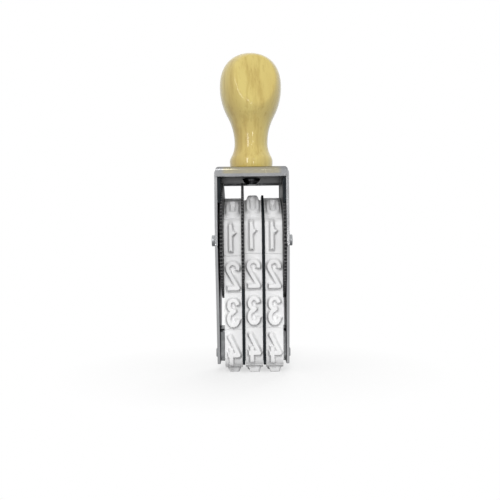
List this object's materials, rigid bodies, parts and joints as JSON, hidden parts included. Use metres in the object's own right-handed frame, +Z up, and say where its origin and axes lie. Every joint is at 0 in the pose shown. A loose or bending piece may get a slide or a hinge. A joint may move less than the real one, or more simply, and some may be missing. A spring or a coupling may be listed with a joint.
{
  "type": "numbering machine",
  "caption": "Hand numbering stamp with a wooden handle over a bent metal frame, rubber number bands on drums and a platen bar, each set by a toothed thumb wheel.",
  "frame": {"origin": "centre of the footprint, on the print face that the stamp stands on", "axes": "+Z up to the handle, -Y the front where the bands are read, +X to the reader's right, along the wheels' axle"},
  "size_m": [0.0288, 0.041, 0.1131],
  "materials": {
    "handle_wood": "clear gloss varnish",
    "nickel_plate": "bright nickel plate",
    "zinc_steel": "bright zinc",
    "platen_steel": "satin",
    "black_paint": "satin black",
    "wheel_black": "black oxide, semi-gloss",
    "drum_plastic": "moulded",
    "band_rubber": "satin"
  },
  "bodies": {
    "frame": {"handle": "handle_wood", "handle_screw": "zinc_steel", "lock_washer": "zinc_steel", "top_cap": "nickel_plate", "side_frame": "nickel_plate", "inner_yoke": "black_paint", "axle": "zinc_steel", "axle_spacer": "zinc_steel", "full_divider": "black_paint", "short_divider": "black_paint", "platen_bar": "platen_steel", "number_band_1": "band_rubber", "number_band_2": "band_rubber", "number_band_3": "band_rubber"},
    "wheel_1": {"wheel_disc_1": "wheel_black", "band_drum_1": "drum_plastic"},
    "wheel_2": {"wheel_disc_2": "wheel_black", "band_drum_2": "drum_plastic"},
    "wheel_3": {"wheel_disc_3": "wheel_black", "band_drum_3": "drum_plastic"}
  },
  "joints": [
    {"name": "wheel_1_turn", "type": "hinge", "parent": "frame", "child": "wheel_1", "pos_m": [0, 0, 0.0463], "axis": [1, 0, 0], "continuous": true},
    {"name": "wheel_2_turn", "type": "hinge", "parent": "frame", "child": "wheel_2", "pos_m": [0, 0, 0.0463], "axis": [1, 0, 0], "continuous": true},
    {"name": "wheel_3_turn", "type": "hinge", "parent": "frame", "child": "wheel_3", "pos_m": [0, 0, 0.0463], "axis": [1, 0, 0], "continuous": true}
  ]
}
